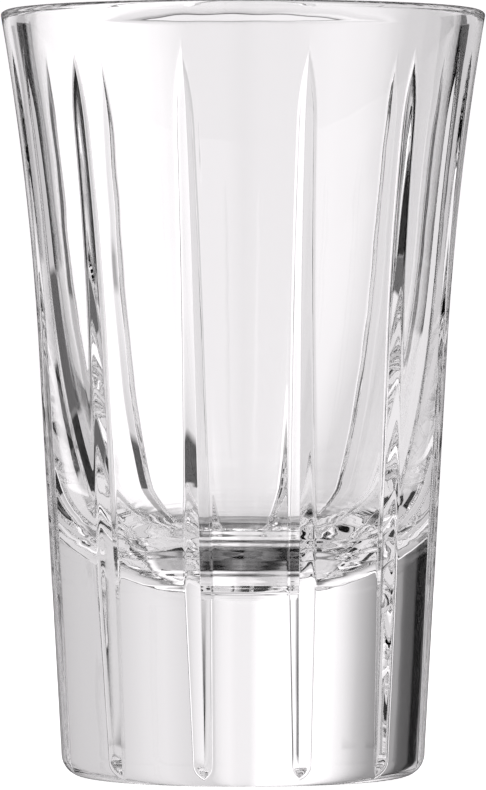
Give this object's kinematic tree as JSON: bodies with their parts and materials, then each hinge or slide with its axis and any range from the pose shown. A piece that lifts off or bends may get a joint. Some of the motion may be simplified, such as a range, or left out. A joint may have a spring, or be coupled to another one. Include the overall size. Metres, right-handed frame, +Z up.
{
  "type": "shot glass",
  "caption": "Heavy-based clear shot glass with a flared mouth and V cuts running down its outside; holds a small drink and stands on a flat foot.",
  "frame": {"origin": "centre of the flat underside", "axes": "+Z up the glass's axis, out of the mouth; +X lies between two cuts"},
  "size_m": [0.0474, 0.0474, 0.075],
  "materials": {
    "clear_glass": "clear, colourless, polished"
  },
  "bodies": {
    "root": {"glass_body": "clear_glass"}
  },
  "joints": []
}
